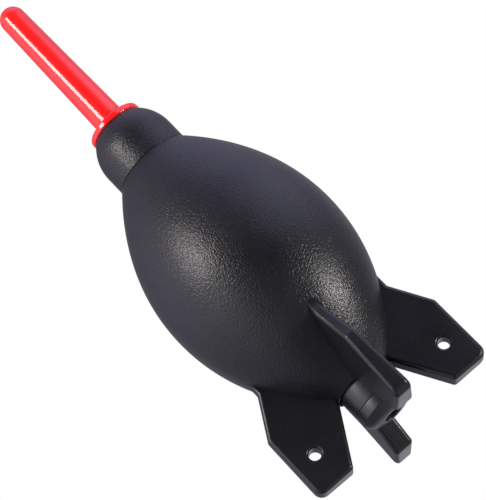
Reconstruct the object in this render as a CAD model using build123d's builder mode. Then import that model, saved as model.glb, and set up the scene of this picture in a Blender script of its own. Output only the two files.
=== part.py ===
"""Rocket-shaped dust blower: a rubber bulb with four fins, a push-in nozzle and an inlet valve in its tail.

It stands on the trailing edges of its fins. Z is the axis with the nozzle up, z = 0 is the surface that it
stands on, and the origin is on the axis. The side fins, which have the lanyard holes, lie along X.
"""

from build123d import *
import os

os.makedirs("parts", exist_ok=True)

# Bulb moulding: (radius, height) of the outer skin, from the tail lip to the foot of the neck
bulb_outline = [
    (9.8, 18.5),
    (22.25, 34.0),
    (29.3, 50.0),
    (31.8, 67.0),
    (29.4, 85.0),
    (22.05, 102.0),
    (13.05, 114.65),
]
lip_radius, lip_z = bulb_outline[0]
belly_radius, belly_z = bulb_outline[3]
neck_radius, neck_foot_z = bulb_outline[-1]
bulb_wall = 3.5

# Neck
neck_shoulder_z = 122.0
neck_top_radius = 9.0
neck_top_z = 132.0
neck_bore = 5.6

# Two wall areas that the fingers press in, halfway between the fins
press_half_width = 15.0
press_half_height = 24.0
press_gap = 0.3
press_direction = {"front": (1, -1, 0), "back": (-1, 1, 0)}

# Fins
fin_outer_radius = 33.5
fin_inner_radius = 20.4
fin_shoulder_z = 23.3
fin_front_slope = 0.566
fin_back_slope = 0.583
fin_root_radius = 20.0
fin_tail_radius = 6.0
fin_thickness = 7.1
fin_thins_with_height = 0.078
fin_thins_with_radius = 0.085
fin_edge_round = 1.2
lanyard_radius = 1.95
lanyard_at_radius = 25.8
lanyard_z = 11.0
lanyard_rim_round = 0.8

# Inlet valve
valve_radius = 8.9
valve_tip_z = 5.2
valve_rim_z = 8.1
valve_seam_z = 11.5
valve_shoulder_z = 20.0
valve_spigot_radius = 6.8
valve_spigot_end_z = 32.0
valve_barb_radius = 7.2
valve_barbs_z = (22.0, 25.0, 28.0)
barb_height = 1.5
valve_bore = 5.0
valve_socket_radius = 6.25
valve_insert_radius = 6.2
inlet_radius = 2.9
seat_z = 10.0
disc_radius = 4.5
disc_thickness = 1.0
disc_lift = 1.2
disc_stop_gap = 0.05
guard_z = 14.5
guard_thickness = 1.2
guard_post_radius = 1.2
guard_holes = 6
guard_hole_radius = 1.1
guard_hole_ring = 3.4
socket_recess_radius = 9.3
tail_sleeve_top_z = 31.0

# Nozzle
nozzle_foot_z = 116.0
flange_radius = 9.3
flange_thickness = 2.2
flange_rim_round = 0.6
flange_root_round = 1.4
nozzle_base_radius = 5.1
nozzle_tip_radius = 4.3
nozzle_tip_z = 184.1
nozzle_end_z = nozzle_tip_z + nozzle_tip_radius
nozzle_bore_base = 3.0
nozzle_bore_tip = 1.4
spigot_radius = 5.1
spigot_ridge_radius = 5.55
spigot_ridges = 3

# The air chamber is the same outline drawn in by the wall thickness
drawn_in_r = 1 - bulb_wall / belly_radius
drawn_in_z = 1 - 2 * bulb_wall / (neck_foot_z - lip_z)
chamber_outline = [(r * drawn_in_r, belly_z + (z - belly_z) * drawn_in_z) for r, z in bulb_outline]


def smooth_section(outline):
    """Half of a round body's section, on a plane between two fins: the outline, closed along the axis."""
    with BuildSketch(Plane(origin=(0, 0, 0), x_dir=(1, 1, 0), z_dir=(1, -1, 0))) as section:
        with BuildLine():
            Spline(*outline)
            Polyline(outline[-1], (0, outline[-1][1]), (0, outline[0][1]), outline[0])
        make_face()
    return section.sketch


def round_bar(radius, z_from, z_to, mode=Mode.ADD):
    """A cylinder on the axis, from one height to another."""
    with Locations((0, 0, z_from)):
        Cylinder(radius, z_to - z_from, align=(Align.CENTER, Align.CENTER, Align.MIN), mode=mode)


def round_hole(radius, z_from, z_to):
    """A plain round hole on the axis."""
    round_bar(radius, z_from, z_to, Mode.SUBTRACT)


def tapered_bar(radius_from, radius_to, z_from, z_to, mode=Mode.ADD):
    """A cone on the axis, cut off at both ends."""
    with Locations((0, 0, z_from)):
        Cone(radius_from, radius_to, z_to - z_from, align=(Align.CENTER, Align.CENTER, Align.MIN), mode=mode)


def press_plane(side):
    """A plane across the press direction of one side, on the axis at the height of the belly."""
    x, y, z = press_direction[side]
    return Plane(origin=(0, 0, belly_z), x_dir=(-y, x, z), z_dir=(x, y, z))


def save(piece, name):
    """Labels the finished solid and writes it to its own file."""
    piece.part.label = name
    export_step(piece.part, f"parts/{name}.step")


bulb_section = smooth_section(bulb_outline)
chamber_section = smooth_section(chamber_outline)

# Bulb shell: the hollow belly, with its tail sleeve and an opening for each pressed wall area
with BuildPart() as bulb_shell:
    revolve(bulb_section, axis=Axis.Z)
    revolve(chamber_section, axis=Axis.Z, mode=Mode.SUBTRACT)
    round_bar(lip_radius, chamber_outline[0][1] - 0.5, tail_sleeve_top_z)
    round_hole(valve_spigot_radius, lip_z - 1, tail_sleeve_top_z)
    round_hole(socket_recess_radius, lip_z - 1, valve_shoulder_z)
    round_hole(neck_bore, chamber_outline[-1][1] - 1, neck_foot_z)
    for side in press_direction:
        with BuildSketch(press_plane(side)):
            Ellipse(press_half_width, press_half_height)
        extrude(amount=2 * belly_radius, mode=Mode.SUBTRACT)
save(bulb_shell, "bulb_shell")

# Pressed wall areas: the same wall inside a slightly smaller ellipse
for side in press_direction:
    with BuildPart() as press_wall:
        revolve(bulb_section, axis=Axis.Z)
        revolve(chamber_section, axis=Axis.Z, mode=Mode.SUBTRACT)
        with BuildSketch(press_plane(side)):
            Ellipse(press_half_width - press_gap, press_half_height - press_gap)
        extrude(amount=2 * belly_radius, mode=Mode.INTERSECT)
    save(press_wall, f"squeeze_wall_{side}")

# Neck collar: a short sleeve with a rounded front, which grips the nozzle
with BuildPart() as neck_collar:
    with BuildSketch(Plane.XZ):
        with BuildLine():
            side_line = Line((neck_radius, neck_foot_z), (neck_radius, neck_shoulder_z))
            TangentArc(side_line @ 1, (neck_top_radius, neck_top_z), tangent=side_line % 1)
            Polyline(
                (neck_top_radius, neck_top_z),
                (neck_bore, neck_top_z),
                (neck_bore, neck_foot_z),
                (neck_radius, neck_foot_z),
            )
        make_face()
    revolve(axis=Axis.Z)
save(neck_collar, "neck_collar")

# The solid bulb, which trims the fins' roots to the skin
with BuildPart() as solid_bulb:
    revolve(bulb_section, axis=Axis.Z)

# Fins: tapered blades with rounded edges. The side fins have a lanyard hole with rounded rims.
root_z = fin_shoulder_z + (fin_outer_radius - fin_root_radius) / fin_front_slope
tail_z = (fin_inner_radius - fin_tail_radius) / fin_back_slope
fin_names = ["fin_right", "fin_back", "fin_left", "fin_front"]
for turn, name in enumerate(fin_names):
    with BuildPart() as fin:
        with BuildSketch(Plane.XZ) as blade:
            with BuildLine():
                Polyline(
                    (fin_inner_radius, 0),
                    (fin_outer_radius, 0),
                    (fin_outer_radius, fin_shoulder_z),
                    (fin_root_radius, root_z),
                    (fin_tail_radius, tail_z),
                    close=True,
                )
            make_face()
            outer_corners = blade.vertices().group_by(Axis.X)[-1].sort_by(Axis.Y)
            inner_corner = blade.vertices().sort_by(Axis.Y)[:2].sort_by(Axis.X)[0]
            fillet(outer_corners[0], radius=3.0)
            fillet(outer_corners[1], radius=1.6)
            fillet(inner_corner, radius=1.5)
        extrude(amount=fin_thickness, both=True)
        for face_side in (1, -1):
            normal = (fin_thins_with_radius / 2, face_side, fin_thins_with_height / 2)
            middle = (fin_inner_radius, face_side * fin_thickness / 2, 0)
            split(bisect_by=Plane(origin=middle, z_dir=normal), keep=Keep.BOTTOM)
        blade_faces = fin.faces().sort_by(Axis.Y)
        fillet(blade_faces[0].edges() + blade_faces[-1].edges(), radius=fin_edge_round)
        if name in ("fin_right", "fin_left"):
            with Locations(Plane.XZ * Pos(lanyard_at_radius, lanyard_z)):
                Hole(lanyard_radius)
            hole_wall = fin.faces().filter_by(GeomType.CYLINDER).sort_by_distance((lanyard_at_radius, 0, lanyard_z))[0]
            hole_rims = hole_wall.edges().filter_by(lambda rim: rim.length > 6 * lanyard_radius)
            fillet(hole_rims, radius=lanyard_rim_round)
        add(solid_bulb.part, mode=Mode.SUBTRACT)
    with BuildPart() as placed_fin:
        with Locations(Rotation(0, 0, 90 * turn)):
            add(fin.part)
    save(placed_fin, name)

# Nozzle: a tapered tube with a rounded tip, a thin round flange and a ridged spigot
with BuildPart() as nozzle:
    with BuildSketch(Plane.XZ):
        with BuildLine():
            tube_side = Line((nozzle_base_radius, neck_top_z), (nozzle_tip_radius, nozzle_tip_z))
            tip = TangentArc(tube_side @ 1, (0, nozzle_end_z), tangent=tube_side % 1)
            Polyline(tip @ 1, (0, neck_top_z), tube_side @ 0)
        make_face()
    revolve(axis=Axis.Z)
    round_bar(flange_radius, neck_top_z, neck_top_z + flange_thickness)
    flange_rims = nozzle.edges().filter_by(GeomType.CIRCLE).group_by(SortBy.RADIUS)[-1]
    fillet(flange_rims, radius=flange_rim_round)
    flange_joint = nozzle.edges().filter_by_position(
        Axis.Z, neck_top_z + flange_thickness - 0.01, neck_top_z + flange_thickness + 0.01
    )
    fillet(flange_joint.sort_by(SortBy.RADIUS)[0], radius=flange_root_round)
    round_bar(spigot_radius, nozzle_foot_z, neck_top_z)
    ridge_pitch = (neck_top_z - nozzle_foot_z) / (spigot_ridges + 1)
    for ridge in range(spigot_ridges):
        ridge_z = nozzle_foot_z + ridge_pitch * (ridge + 0.5)
        tapered_bar(spigot_radius, spigot_ridge_radius, ridge_z, ridge_z + barb_height)
    tapered_bar(nozzle_bore_base, nozzle_bore_tip, nozzle_foot_z, nozzle_end_z, Mode.SUBTRACT)
save(nozzle, "nozzle")

# Valve body: the smooth boss below the bulb, and a barbed spigot that the tail sleeve grips
with BuildPart() as valve_body:
    round_bar(valve_radius, valve_seam_z, valve_shoulder_z)
    round_bar(valve_spigot_radius, valve_shoulder_z, valve_spigot_end_z)
    for barb_z in valve_barbs_z:
        tapered_bar(valve_barb_radius, valve_spigot_radius, barb_z, barb_z + barb_height)
    round_hole(valve_socket_radius, valve_seam_z, guard_z + guard_thickness)
    round_hole(valve_bore, guard_z + guard_thickness, valve_spigot_end_z)
    chamfer(valve_body.edges().filter_by(GeomType.CIRCLE).sort_by(Axis.Z)[-2:], length=0.5)
save(valve_body, "inlet_valve_body")

# Valve cap: domed end with the inlet hole, whose inner rim is the seat of the disc
with BuildPart() as valve_cap:
    with BuildSketch(Plane.XZ):
        with BuildLine():
            dome = ThreePointArc((inlet_radius, valve_tip_z), (6.9, 6.1), (valve_radius, valve_rim_z))
            Polyline(
                dome @ 1,
                (valve_radius, valve_seam_z),
                (valve_insert_radius, valve_seam_z),
                (valve_insert_radius, guard_z),
                (valve_bore, guard_z),
                (valve_bore, seat_z),
                (inlet_radius, seat_z),
                dome @ 0,
            )
        make_face()
    revolve(axis=Axis.Z)
save(valve_cap, "inlet_valve_cap")

# Valve disc: loose in the cap, it lifts off the seat when the bulb fills
with BuildPart() as valve_disc:
    round_bar(disc_radius, seat_z, seat_z + disc_thickness)
save(valve_disc, "inlet_valve_disc")

# Valve guard: a drilled plate with a post, which stops the disc when it has lifted
with BuildPart() as valve_guard:
    round_bar(valve_insert_radius, guard_z, guard_z + guard_thickness)
    round_bar(guard_post_radius, seat_z + disc_thickness + disc_lift + disc_stop_gap, guard_z)
    with PolarLocations(guard_hole_ring, guard_holes):
        Hole(guard_hole_radius)
save(valve_guard, "inlet_valve_guard")
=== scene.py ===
"""Looks of the dust blower: rubber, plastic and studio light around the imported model.

Shapes are worked out in millimetres and made in metres. The nozzle points up and the front is -Y.
Outlines are (r, z) points: the distance from the axis and the height. Heights and radii that the
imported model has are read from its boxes.
"""

import math

import bpy
import numpy as np
from mathutils import Matrix, Vector
from mathutils.geometry import tessellate_polygon


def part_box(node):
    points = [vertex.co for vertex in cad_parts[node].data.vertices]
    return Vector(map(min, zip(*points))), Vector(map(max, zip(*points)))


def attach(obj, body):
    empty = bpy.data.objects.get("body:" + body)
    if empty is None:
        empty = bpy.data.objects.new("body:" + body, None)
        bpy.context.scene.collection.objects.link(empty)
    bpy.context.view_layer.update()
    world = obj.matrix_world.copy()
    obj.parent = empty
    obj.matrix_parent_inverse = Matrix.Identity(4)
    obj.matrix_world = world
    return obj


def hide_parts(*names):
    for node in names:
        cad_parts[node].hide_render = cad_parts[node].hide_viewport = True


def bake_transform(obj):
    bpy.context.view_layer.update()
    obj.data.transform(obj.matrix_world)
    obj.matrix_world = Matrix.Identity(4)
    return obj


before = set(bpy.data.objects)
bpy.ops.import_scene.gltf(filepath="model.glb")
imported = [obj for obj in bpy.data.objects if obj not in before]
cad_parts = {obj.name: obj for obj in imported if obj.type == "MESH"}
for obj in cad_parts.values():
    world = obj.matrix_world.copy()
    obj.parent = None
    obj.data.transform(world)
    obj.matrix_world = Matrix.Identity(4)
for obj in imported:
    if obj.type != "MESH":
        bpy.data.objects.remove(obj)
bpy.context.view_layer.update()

MM = 0.001


# ---------------------------------------------------------------- outlines

def round_corners(corners, steps=5):
    """A closed outline of (r, z) points from corners (r, z, rounding)."""
    points = []
    count = len(corners)
    for i, (r, z, rounding) in enumerate(corners):
        here = Vector((r, z))
        if rounding <= 0:
            points.append((r, z))
            continue
        back = Vector(corners[i - 1][:2]) - here
        ahead = Vector(corners[(i + 1) % count][:2]) - here
        half = back.angle(ahead) / 2
        reach = min(rounding / math.tan(half), 0.49 * back.length, 0.49 * ahead.length)
        radius = reach * math.tan(half)
        middle = (back.normalized() + ahead.normalized()).normalized()
        centre = here + middle * radius / math.sin(half)
        first = here + back.normalized() * reach - centre
        last = here + ahead.normalized() * reach - centre
        turn = first.angle_signed(last)
        for k in range(steps + 1):
            spoke = first.copy()
            spoke.rotate(Matrix.Rotation(-turn * k / steps, 2))
            points.append(tuple(centre + spoke))
    return points


def cubic_through(knots, count):
    """Points of the curve that CAD draws through the knots: a cubic spline over their distances."""
    knots = np.array(knots, float)
    t = np.concatenate([[0], np.cumsum(np.hypot(*np.diff(knots, axis=0).T))])
    h = np.diff(t)
    size = len(t)
    system = np.zeros((size, size))
    right = np.zeros((size, 2))
    system[0, :3] = h[1], -(h[0] + h[1]), h[0]
    system[-1, -3:] = h[-1], -(h[-2] + h[-1]), h[-2]
    for i in range(1, size - 1):
        system[i, i - 1:i + 2] = h[i - 1], 2 * (h[i - 1] + h[i]), h[i]
        right[i] = 6 * ((knots[i + 1] - knots[i]) / h[i] - (knots[i] - knots[i - 1]) / h[i - 1])
    bend = np.linalg.solve(system, right)
    found = []
    for u in np.linspace(0, t[-1], count):
        i = min(np.searchsorted(t, u, side="right") - 1, size - 2)
        a, b = (t[i + 1] - u) / h[i], (u - t[i]) / h[i]
        found.append(
            a * knots[i] + b * knots[i + 1]
            + ((a ** 3 - a) * bend[i] + (b ** 3 - b) * bend[i + 1]) * h[i] ** 2 / 6
        )
    return [tuple(p) for p in found]


def anticlockwise(outline):
    """The outline as an array whose inside is on the left."""
    ring = np.array(outline, float)
    after = np.roll(ring, -1, axis=0)
    area = np.sum(ring[:, 0] * after[:, 1] - after[:, 0] * ring[:, 1])
    return ring[::-1] if area < 0 else ring


def edge_normals(ring):
    """The outward normal of each edge of an anticlockwise outline."""
    along = np.roll(ring, -1, axis=0) - ring
    along /= np.linalg.norm(along, axis=1)[:, None]
    return np.stack([along[:, 1], -along[:, 0]], axis=1)


# ---------------------------------------------------------------- solids

def new_object(name, data):
    made = bpy.data.objects.new(name, data)
    bpy.context.scene.collection.objects.link(made)
    return made


def smooth_mesh(name, verts, faces):
    mesh = bpy.data.meshes.new(name)
    mesh.from_pydata([tuple(c * MM for c in v) for v in verts], [], faces)
    mesh.polygons.foreach_set("use_smooth", [True] * len(faces))
    mesh.update()
    return mesh


def turned(name, outline, segments=160, start=0.0, sweep=360.0, crease=35.0):
    """A closed solid from a closed outline, turned about the axis.

    Its shading normals come from the outline, so half a turn meets its other half with no seam.
    Corners sharper than crease, in degrees, stay sharp.
    """
    ring = anticlockwise(outline)
    count = len(ring)
    side = edge_normals(ring)
    before = np.roll(side, 1, axis=0)
    soft = np.sum(side * before, axis=1) > math.cos(math.radians(crease))
    mean = side + before
    mean /= np.maximum(np.linalg.norm(mean, axis=1)[:, None], 1e-9)
    normal_at_start = np.where(soft[:, None], mean, side)
    normal_at_end = np.roll(np.where(soft[:, None], mean, before), -1, axis=0)

    whole = sweep > 359.9
    columns = segments if whole else segments + 1
    angles = np.radians(start + sweep * np.arange(columns) / segments)
    verts = [(r * math.cos(a), r * math.sin(a), z) for a in angles for r, z in ring]
    faces, normals = [], []

    def lifted(normal, angle):
        return (normal[0] * math.cos(angle), normal[0] * math.sin(angle), normal[1])

    for j in range(segments):
        k = (j + 1) % columns
        for i in range(count):
            n = (i + 1) % count
            faces.append((j * count + i, k * count + i, k * count + n, j * count + n))
            first, last = normal_at_start[i], normal_at_end[i]
            normals += [lifted(first, angles[j]), lifted(first, angles[k])]
            normals += [lifted(last, angles[k]), lifted(last, angles[j])]
    if not whole:
        a, b = angles[0], angles[-1]
        faces.append(tuple(range(count)))
        normals += [(math.sin(a), -math.cos(a), 0)] * count
        faces.append(tuple(reversed(range((columns - 1) * count, columns * count))))
        normals += [(-math.sin(b), math.cos(b), 0)] * count
    mesh = smooth_mesh(name, verts, faces)
    mesh.normals_split_custom_set(normals)
    return new_object(name, mesh)


def blade(name, turn, outline, half_thickness, edge_round, hole=None, hole_round=0.0):
    """A fin: a flat outline with its own thickness at every point, and rounded edges.

    half_thickness is a function of r and z. hole is (r, z, radius) of a round hole, whose rims are
    rounded by hole_round. The fin stands radially, at the angle turn in degrees.
    """
    steps, hole_segments = 6, 48
    quarter = np.linspace(0, math.pi / 2, steps + 1)
    verts, normals, faces = [], [], []

    def edge_rows(rounding, place, across):
        """Closed rows of vertices over a rounded edge, from the fin's +Y face to its -Y face."""
        rows = []
        for side, leans in ((1, quarter[::-1]), (-1, quarter)):
            for lean in leans:
                first = len(verts)
                drop = rounding * (1 - math.sin(lean))
                for (r, z), (nr, nz) in zip(place(rounding * (1 - math.cos(lean))), across):
                    verts.append((r, side * (half_thickness(r, z) - drop), z))
                    normals.append((nr * math.cos(lean), side * math.sin(lean), nz * math.cos(lean)))
                rows.append(range(first, len(verts)))
        return rows

    def join(first, second):
        count = len(first)
        for i in range(count):
            j = (i + 1) % count
            faces.append((first[i], first[j], second[j], second[i]))

    loop = anticlockwise(outline)
    side = edge_normals(loop)
    out = side + np.roll(side, 1, axis=0)
    out /= np.linalg.norm(out, axis=1)[:, None]
    reach = 1 / np.maximum(np.sum(out * side, axis=1), 0.3)
    rows = edge_rows(edge_round, lambda inset: loop - out * (reach * inset)[:, None], out)
    for first, second in zip(rows, rows[1:]):
        join(first, second)
    faces_of_fin = [[rows[0]], [rows[-1]]]
    if hole:
        spin = np.radians(360 * np.arange(hole_segments) / hole_segments)
        spokes = np.stack([np.cos(spin), np.sin(spin)], axis=1)
        middle = np.array(hole[:2])
        holes = edge_rows(hole_round, lambda inset: middle + spokes * (hole[2] + inset), -spokes)
        for first, second in zip(holes, holes[1:]):
            join(second, first)
        faces_of_fin = [[rows[0], holes[0]], [rows[-1], holes[-1]]]
    for turned_round, rings in zip((True, False), faces_of_fin):
        flat = [[Vector((verts[i][0], verts[i][2], 0)) for i in ring] for ring in rings]
        index = [i for ring in rings for i in ring]
        for corners in tessellate_polygon(flat):
            tri = [index[c] for c in corners]
            (ax, _, az), (bx, _, bz), (cx, _, cz) = (verts[i] for i in tri)
            if ((bx - ax) * (cz - az) - (bz - az) * (cx - ax) > 0) == turned_round:
                tri.reverse()
            faces.append(tuple(tri))
    mesh = smooth_mesh(name, verts, faces)
    mesh.normals_split_custom_set_from_vertices(normals)
    mesh.transform(Matrix.Rotation(math.radians(turn), 4, "Z"))
    return new_object(name, mesh)


# ---------------------------------------------------------------- materials

class Nodes:
    """A short way to write one material's node tree."""

    def __init__(self, name):
        self.material = bpy.data.materials.new(name)
        self.material.use_nodes = True
        self.tree = self.material.node_tree
        self.shader = self.tree.nodes["Principled BSDF"]
        self.output = self.tree.nodes["Material Output"]
        self.place = self.add("ShaderNodeTexCoord").outputs["Object"]

    def add(self, kind, **settings):
        node = self.tree.nodes.new(kind)
        for key, value in settings.items():
            setattr(node, key, value)
        return node

    def link(self, source, target):
        self.tree.links.new(source, target)

    def set(self, node, name, value):
        socket = node.inputs[name]
        if isinstance(value, bpy.types.NodeSocket):
            self.link(value, socket)
        else:
            socket.default_value = value

    def math(self, operation, a, b):
        node = self.add("ShaderNodeMath", operation=operation)
        self.set(node, 0, a)
        self.set(node, 1, b)
        return node.outputs[0]

    def stretch(self, scale, turn=(0.0, 0.0, 0.0)):
        """The object's own coordinates, scaled and turned."""
        node = self.add("ShaderNodeMapping")
        self.link(self.place, node.inputs["Vector"])
        node.inputs["Scale"].default_value = scale
        node.inputs["Rotation"].default_value = turn
        return node.outputs[0]

    def noise(self, size_mm, detail=2.0, rough=0.5, bend=0.0, vector=None):
        node = self.add("ShaderNodeTexNoise")
        self.link(vector or self.place, node.inputs["Vector"])
        node.inputs["Scale"].default_value = 1 / (size_mm * MM)
        node.inputs["Detail"].default_value = detail
        node.inputs["Roughness"].default_value = rough
        node.inputs["Distortion"].default_value = bend
        return node.outputs["Fac"]

    def cells(self, size_mm, vector):
        """Rounded cells, as between the creases of leather."""
        node = self.add("ShaderNodeTexVoronoi", feature="SMOOTH_F1")
        self.link(vector, node.inputs["Vector"])
        node.inputs["Scale"].default_value = 1 / (size_mm * MM)
        return node.outputs["Distance"]

    def spread(self, value, low, high, to_low, to_high):
        """The value, moved from low..high to to_low..to_high and kept there."""
        node = self.add("ShaderNodeMapRange", clamp=True)
        names = ("Value", "From Min", "From Max", "To Min", "To Max")
        for name, v in zip(names, (value, low, high, to_low, to_high)):
            self.set(node, name, v)
        return node.outputs[0]

    def colours(self, value, *stops):
        node = self.add("ShaderNodeValToRGB")
        self.link(value, node.inputs["Fac"])
        for stop, (at, colour) in zip(node.color_ramp.elements, stops):
            stop.position = at
            stop.color = (*colour, 1)
        return node.outputs["Color"]

    def bump(self, height, depth_mm, below=None):
        node = self.add("ShaderNodeBump")
        self.link(height, node.inputs["Height"])
        node.inputs["Distance"].default_value = depth_mm * MM
        node.inputs["Strength"].default_value = 1.0
        if below:
            self.link(below, node.inputs["Normal"])
        return node.outputs["Normal"]

    def see_through(self, amount):
        """Mixes the shader with a clear one."""
        mix = self.add("ShaderNodeMixShader")
        self.link(amount, mix.inputs[0])
        self.link(self.shader.outputs[0], mix.inputs[1])
        self.link(self.add("ShaderNodeBsdfTransparent").outputs[0], mix.inputs[2])
        self.link(mix.outputs[0], self.output.inputs["Surface"])


def rubber(name, tone, rough, grain_mm, grain_depth):
    """Black moulded rubber: leathery grain, soft unevenness, and specks that shine less."""
    n = Nodes(name)
    swell = n.noise(9.0)
    patch = n.noise(22.0, 3.0, 0.6)
    streaked = n.stretch((1.0, 1.0, 0.72), (0.5, 0.35, 0.0))
    grain = n.noise(grain_mm, 0.7, 0.5, 0.6, streaked)
    creases = n.cells(grain_mm * 1.1, streaked)
    height = n.math("ADD", grain, n.math("MULTIPLY", creases, 0.45))
    speck = n.spread(n.noise(0.9, 2.0, 0.7), 0.70, 0.86, 0.0, 1.0)
    dark = [c * 0.82 for c in tone]
    light = [c * 1.22 for c in tone]
    n.link(n.colours(patch, (0.35, dark), (0.68, light)), n.shader.inputs["Base Color"])
    wear = n.spread(patch, 0.35, 0.7, rough - 0.035, rough + 0.045)
    n.link(n.math("ADD", wear, n.math("MULTIPLY", speck, 0.12)), n.shader.inputs["Roughness"])
    uneven = n.bump(swell, 0.10)
    n.link(n.bump(height, grain_depth, uneven), n.shader.inputs["Normal"])
    n.shader.inputs["Specular IOR Level"].default_value = 0.36
    return n.material


def plastic(name, tone, rough, coat):
    """Moulded plastic: nearly smooth, with faint flow marks and a slightly uneven gloss."""
    n = Nodes(name)
    flow = n.noise(14.0, 2.0, 0.5, 0.6, n.stretch((1.0, 1.0, 0.35)))
    fine = n.noise(0.5)
    haze = n.noise(3.5, 3.0, 0.6)
    dark = [c * 0.93 for c in tone]
    n.link(n.colours(flow, (0.3, dark), (0.7, tone)), n.shader.inputs["Base Color"])
    n.link(n.spread(haze, 0.3, 0.7, rough - 0.03, rough + 0.04), n.shader.inputs["Roughness"])
    n.link(n.bump(fine, 0.0002, n.bump(flow, 0.004)), n.shader.inputs["Normal"])
    n.shader.inputs["Coat Weight"].default_value = coat
    n.shader.inputs["Coat Roughness"].default_value = 0.06
    return n.material


bulb_rubber = rubber("bulb_rubber", (0.0098, 0.0094, 0.0113), 0.31, 0.47, 0.125)
fin_rubber = rubber("fin_rubber", (0.0100, 0.0098, 0.0115), 0.31, 0.50, 0.042)
nozzle_plastic = plastic("nozzle_plastic", (0.95, 0.008, 0.005), 0.11, 0.25)
valve_plastic = plastic("valve_plastic", (0.012, 0.012, 0.014), 0.36, 0.0)
disc_silicone = plastic("disc_silicone", (0.33, 0.32, 0.30), 0.45, 0.0)


def finish_piece(piece, material, body=None, stands_for=()):
    """Paints a piece, and says what it rides on and which nodes it stands for."""
    piece.data.materials.clear()
    piece.data.materials.append(material)
    if stands_for:
        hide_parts(*stands_for)
    if body:
        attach(piece, body)


# ---------------------------------------------------------------- bulb skin, in two halves

lip_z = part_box("bulb_shell")[0].z / MM
foot_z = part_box("bulb_shell")[1].z / MM
belly_r, belly_z = 31.8, 67.0
wall = 3.5
neck_bore = 5.6
valve_shoulder_z = 20.0
valve_spigot_r = 6.8
sleeve_top_z = 31.0
skin_knots = [
    (9.8, lip_z), (22.25, 34.0), (29.3, 50.0), (belly_r, belly_z), (29.4, 85.0), (22.05, 102.0),
    (13.05, foot_z),
]
outer_line = cubic_through(skin_knots, 150)
draw_r = 1 - wall / belly_r
draw_z = 1 - 2 * wall / (foot_z - lip_z)
inner_line = [(r * draw_r, belly_z + (z - belly_z) * draw_z) for r, z in cubic_through(skin_knots, 70)]

# the skin rolls into a narrow crease below the neck
crease_r, crease_z = 12.6, foot_z - 0.6
shoulder_roll = round_corners(
    [outer_line[-4] + (0,), (13.2, foot_z - 0.16, 0.35), (crease_r, crease_z, 0)], 6
)
# and turns in at the tail to a socket for the valve
socket_r, lip_round = 9.3, 0.22
tail_lip = round_corners([
    (socket_r, valve_shoulder_z, 0), (socket_r, lip_z, lip_round), (9.9, lip_z, lip_round),
    outer_line[2] + (0,),
])
skin_outline = (
    outer_line[2:-4] + shoulder_roll
    + [(neck_bore, crease_z), (neck_bore, inner_line[-1][1])]
    + inner_line[::-1]
    + [(9.8, sleeve_top_z), (valve_spigot_r, sleeve_top_z)]
    + [(valve_spigot_r, valve_shoulder_z), (socket_r, valve_shoulder_z)]
    + tail_lip[1:-1]
)

for side, toward in (("front", Vector((1, -1, 0))), ("back", Vector((-1, 1, 0)))):
    toward.normalize()
    middle = math.degrees(math.atan2(toward.y, toward.x))
    skin = turned(f"bulb_skin_{side}", skin_outline, segments=150, start=middle - 90, sweep=180)
    stands_for = [f"squeeze_wall_{side}"] + (["bulb_shell"] if side == "front" else [])
    finish_piece(skin, bulb_rubber, stands_for=stands_for)
    height = Vector((0, 0, belly_z * MM))
    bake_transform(skin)

# ---------------------------------------------------------------- neck

neck_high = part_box("neck_collar")[1]
neck_r = neck_high.x / MM
neck_top = neck_high.z / MM
neck_foot_z = crease_z - 0.1

# its shoulder is an arc that leaves the side straight up and ends at the flange
shoulder_start_z, shoulder_end_r = 122.0, 9.0
shoulder_steps = 24
rise, draw = neck_top - shoulder_start_z, neck_r - shoulder_end_r
arc_r = (rise ** 2 + draw ** 2) / (2 * draw)
neck_shoulder = []
for k in range(shoulder_steps + 1):
    a = math.asin(rise / arc_r) * k / shoulder_steps
    neck_shoulder.append((neck_r - arc_r * (1 - math.cos(a)), shoulder_start_z + arc_r * math.sin(a)))
neck_foot = round_corners([
    (crease_r, neck_foot_z, 0), (12.7, foot_z - 0.35, 0.1), (neck_r, foot_z + 0.05, 0.2),
    (neck_r, foot_z + 1.5, 0),
])
neck = turned("neck_skin", neck_foot + neck_shoulder + [(neck_bore, neck_top), (neck_bore, neck_foot_z)])
finish_piece(neck, bulb_rubber, "bulb", ["neck_collar"])

# ---------------------------------------------------------------- fins

fin_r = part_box("fin_right")[1].x / MM
fin_inner_r, fin_shoulder_z = 20.4, 23.3
fin_edge_round, hole_rim_round = 1.35, 0.9
lead_run = 0.566          # how far the leading edge goes in for each millimetre that it climbs
lanyard_hole = (25.8, 11.0, 1.95)

# the root lies inside the skin's wall, along its outline
root_low_z, root_top_z = 21.5, 45.5
root_sink_r, root_lift_z = 1.615, 0.95
root = [(r - root_sink_r, z + root_lift_z, 0) for r, z in outer_line if root_low_z < z < root_top_z]
tail = [(9.5, 18.7, 0), (9.6, 20.2, 0)]
lead_r = root[-1][0]
lead_z = fin_shoulder_z + (fin_r - lead_r) / lead_run
fin_outline = round_corners([
    (fin_inner_r, 0, 1.5), (fin_r, 0, 3.0), (fin_r, fin_shoulder_z, 1.6), (lead_r, lead_z, 0),
    *root[::-1], *tail[::-1],
], 9)


def fin_half_thickness(r, z):
    """Thickest at the inner trailing corner, thinning forwards and outwards."""
    return (7.1 - 0.078 * z - 0.085 * (r - fin_inner_r)) / 2


for side, turn in (("right", 0), ("back", 90), ("left", 180), ("front", 270)):
    hole = lanyard_hole if side in ("right", "left") else None
    fin = blade(
        f"tail_fin_{side}", turn, fin_outline, fin_half_thickness, fin_edge_round, hole, hole_rim_round
    )
    finish_piece(fin, fin_rubber, "bulb", [f"fin_{side}"])

# ---------------------------------------------------------------- nozzle

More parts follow.
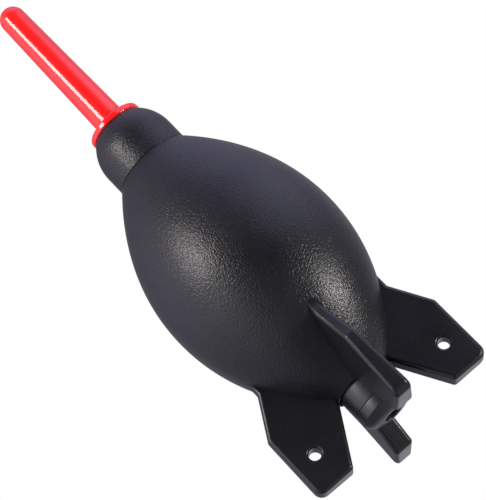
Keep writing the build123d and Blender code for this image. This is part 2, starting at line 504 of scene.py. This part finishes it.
nozzle_low, nozzle_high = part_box("nozzle")
nozzle_foot_z = nozzle_low.z / MM
nozzle_end_z = nozzle_high.z / MM
flange_r, flange_thickness, flange_round, flange_root_round = nozzle_high.x / MM, 2.2, 0.6, 1.4
flange_z = neck_top + flange_thickness
tube_r, tube_end_r, tube_end_z = 5.1, 4.3, 184.1
bore_foot_r, bore_end_r = 3.0, 1.4

spigot_r, ridge_r = 5.1, 5.55
ridge_count, ridge_height, ridge_back = 3, 1.5, 0.02
ridge_pitch = (neck_top - nozzle_foot_z) / (ridge_count + 1)
spigot = [(spigot_r, nozzle_foot_z)]
for k in range(ridge_count):
    ridge_z = nozzle_foot_z + ridge_pitch * (k + 0.5)
    ridge_top_z = ridge_z + ridge_height
    spigot += [(spigot_r, ridge_z), (ridge_r, ridge_top_z), (spigot_r, ridge_top_z + ridge_back)]

tip_steps = 18
tip = []
for k in range(tip_steps + 1):
    a = math.radians(90 * k / tip_steps)
    r = tube_end_r * math.cos(a)
    if r > bore_end_r:
        tip.append((r, tube_end_z + tube_end_r * math.sin(a)))
tip += [(1.62, nozzle_end_z - 0.35), (bore_end_r, nozzle_end_z - 0.8)]

flange_and_tube = round_corners([
    (spigot_r, neck_top, 0), (flange_r, neck_top, flange_round), (flange_r, flange_z, flange_round),
    (tube_r, flange_z, flange_root_round), (tube_end_r, tube_end_z, 0),
], 8)[:-1]
nozzle = turned("nozzle_tube", flange_and_tube + tip + [(bore_foot_r, nozzle_foot_z)] + spigot, 192)
finish_piece(nozzle, nozzle_plastic, "nozzle", ["nozzle"])

# ---------------------------------------------------------------- inlet valve

seam_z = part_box("inlet_valve_body")[0].z / MM
cap_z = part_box("inlet_valve_cap")[0].z / MM
valve_r, seam_round = 8.9, 0.22
spigot_end_z, spigot_bore = 32.0, 5.0
guard_socket_r, guard_top_z = 6.25, 15.7
valve_body = turned("valve_boss", round_corners([
    (guard_socket_r, seam_z, 0), (valve_r, seam_z, seam_round), (valve_r, valve_shoulder_z, 0.3),
    (valve_spigot_r, valve_shoulder_z, 0), (valve_spigot_r, spigot_end_z, 0.4),
    (spigot_bore, spigot_end_z, 0.4), (spigot_bore, guard_top_z, 0), (guard_socket_r, guard_top_z, 0),
]))
finish_piece(valve_body, valve_plastic, "bulb", ["inlet_valve_body"])

inlet_r, seat_z = 2.9, 10.0
collar_r, collar_end_z, collar_bore = 6.2, 14.5, 5.0
dome = [(3.9, 5.27, 0), (5.2, 5.5, 0), (6.5, 5.9, 0), (7.7, 6.65, 0), (valve_r, 8.1, 0.5)]
valve_cap = turned("valve_cap", round_corners([
    (inlet_r, cap_z, 0.35), *dome, (valve_r, seam_z, seam_round), (collar_r, seam_z, 0),
    (collar_r, collar_end_z, 0), (collar_bore, collar_end_z, 0), (collar_bore, seat_z, 0),
    (inlet_r, seat_z, 0.2),
]))
finish_piece(valve_cap, valve_plastic, "bulb", ["inlet_valve_cap"])
finish_piece(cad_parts["inlet_valve_guard"], valve_plastic)
finish_piece(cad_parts["inlet_valve_disc"], disc_silicone)

# ---------------------------------------------------------------- floor

# pale near the object, clear further out and from below, and no part of the object's own light
reach = 3.0
floor_mesh = bpy.data.meshes.new("floor")
floor_corners = [(-reach, -reach, 0), (reach, -reach, 0), (reach, reach, 0), (-reach, reach, 0)]
floor_mesh.from_pydata(floor_corners, [], [(0, 1, 2, 3)])
floor = new_object("floor", floor_mesh)
paint = Nodes("floor_paint")
paint.shader.inputs["Base Color"].default_value = (0.80, 0.80, 0.81, 1)
paint.shader.inputs["Roughness"].default_value = 0.7
from_axis = paint.add("ShaderNodeVectorMath", operation="LENGTH")
paint.link(paint.place, from_axis.inputs[0])
fade = paint.spread(from_axis.outputs["Value"], 0.16, 0.75, 0.0, 1.0)
underside = paint.add("ShaderNodeNewGeometry").outputs["Backfacing"]
paint.see_through(paint.math("MAXIMUM", underside, fade))
floor_mesh.materials.append(paint.material)
floor.visible_glossy = False
floor.visible_diffuse = False
floor.visible_shadow = False
floor.visible_transmission = False

# ---------------------------------------------------------------- light


def toward_view(azimuth, elevation):
    """The direction seen from the object: azimuth 0 is -Y and 90 is +X."""
    a, e = math.radians(azimuth), math.radians(elevation)
    return Vector((math.sin(a) * math.cos(e), -math.cos(a) * math.cos(e), math.sin(e)))


LIGHT_DISTANCE = 0.9
LIGHT_AIM = Vector((0, 0, 0.075))
softboxes = [
    # name, azimuth, elevation, width, height, power, colour
    ("left_softbox", -50, 29, 0.30, 0.34, 4.9, (1.0, 0.92, 0.88)),
    ("right_softbox", 54, -30, 0.24, 0.22, 5.6, (1.0, 0.95, 0.92)),
    ("right_panel", 60, 19, 1.06, 0.5, 1.4, (0.85, 0.90, 1.15)),
]
for name, azimuth, elevation, width, height, power, colour in softboxes:
    light = bpy.data.lights.new(name, "AREA")
    light.shape = "RECTANGLE"
    light.size, light.size_y = width, height
    light.energy = power
    light.color = colour
    lamp = new_object(name, light)
    lamp.location = LIGHT_AIM + toward_view(azimuth, elevation) * LIGHT_DISTANCE
    lamp.rotation_mode = "QUATERNION"
    lamp.rotation_quaternion = (LIGHT_AIM - lamp.location).to_track_quat("-Z", "Y")
    lamp.visible_camera = False

# the world is white behind the object, and lights it with soft pools from all round
pools = [
    # azimuth, elevation, tightness, brightness, colour
    (75, 50, 5, 1.04, (1.0, 0.98, 1.50)),
    (-100, 15, 5, 0.72, (1.05, 0.87, 1.20)),
    (-75, 40, 5, 1.0, (0.97, 1.0, 1.17)),
    (167, 0, 5, 0.41, (0.95, 1.0, 1.15)),
    (120, 15, 5, 0.12, (1.2, 0.9, 0.8)),
    (-90, -25, 5, 0.29, (0.93, 1.0, 1.3)),
    (180, -50, 5, 0.11, (1.1, 0.8, 1.1)),
    (60, -70, 5, 0.70, (0.97, 1.0, 1.08)),
    (150, -38, 10, 0.04, (0.8, 1.0, 1.1)),
    (95, -15, 8, 0.12, (0.75, 1.0, 1.5)),
    (-60, 0, 12, 1.2, (1.0, 1.06, 1.02)),
    (167, -19, 25, 0.7, (1.0, 1.0, 1.1)),
]
world = bpy.data.worlds.new("studio")
bpy.context.scene.world = world
world.use_nodes = True
tree = world.node_tree
tree.nodes.clear()


def world_node(kind, operation=None, links=(), values=()):
    """A node of the world, with some of its inputs linked and others set."""
    node = tree.nodes.new(kind)
    if operation:
        node.operation = operation
    for socket, source in links:
        tree.links.new(source, node.inputs[socket])
    for socket, value in values:
        node.inputs[socket].default_value = value
    return node


look = world_node("ShaderNodeTexCoord").outputs["Generated"]
total = None
for azimuth, elevation, tightness, brightness, colour in pools:
    # a pool is its colour times exp(tightness * (cosine - 1)), by the angle from its middle
    middle = toward_view(azimuth, elevation)
    cosine = world_node("ShaderNodeVectorMath", "DOT_PRODUCT", [(0, look)], [(1, middle)])
    slope = world_node(
        "ShaderNodeMath", "MULTIPLY_ADD", [(0, cosine.outputs["Value"])], [(1, tightness), (2, -tightness)]
    )
    lobe = world_node("ShaderNodeMath", "EXPONENT", [(0, slope.outputs[0])])
    tinted = [c * brightness for c in colour]
    pool = world_node("ShaderNodeVectorMath", "SCALE", [("Scale", lobe.outputs[0])], [(0, tinted)])
    pool = pool.outputs[0]
    if total is not None:
        pool = world_node("ShaderNodeVectorMath", "ADD", [(0, total), (1, pool)]).outputs[0]
    total = pool
pool_light = world_node("ShaderNodeBackground", links=[("Color", total)])
white = world_node("ShaderNodeBackground", values=[("Color", (1, 1, 1, 1))])
seen = world_node("ShaderNodeLightPath").outputs["Is Camera Ray"]
sky = world_node(
    "ShaderNodeMixShader", links=[(0, seen), (1, pool_light.outputs[0]), (2, white.outputs[0])]
)
world_node("ShaderNodeOutputWorld", links=[("Surface", sky.outputs[0])])

bpy.context.scene.view_settings.view_transform = "Standard"

# ---------------------------------------------------------------- camera

# it looks up along the bulb from below the tail, as in the photograph, and is turned clockwise
VIEW_AZIMUTH, VIEW_ELEVATION, VIEW_ROLL = -12.6308, -18.7600, -43.9585
camera_data = bpy.data.cameras.new("camera")
camera_data.lens = 187.2
camera_data.sensor_width = 36.0
camera_data.clip_start, camera_data.clip_end = 0.01, 20.0
camera = new_object("camera", camera_data)
back = toward_view(VIEW_AZIMUTH, VIEW_ELEVATION)
level = Vector((math.cos(math.radians(VIEW_AZIMUTH)), math.sin(math.radians(VIEW_AZIMUTH)), 0))
upright = Matrix((level, back.cross(level), back)).transposed()
camera.rotation_mode = "QUATERNION"
camera.rotation_quaternion = (upright @ Matrix.Rotation(math.radians(VIEW_ROLL), 3, "Z")).to_quaternion()
camera.location = Vector((-0.162338, -0.732648, -0.180037))
bpy.context.scene.camera = camera
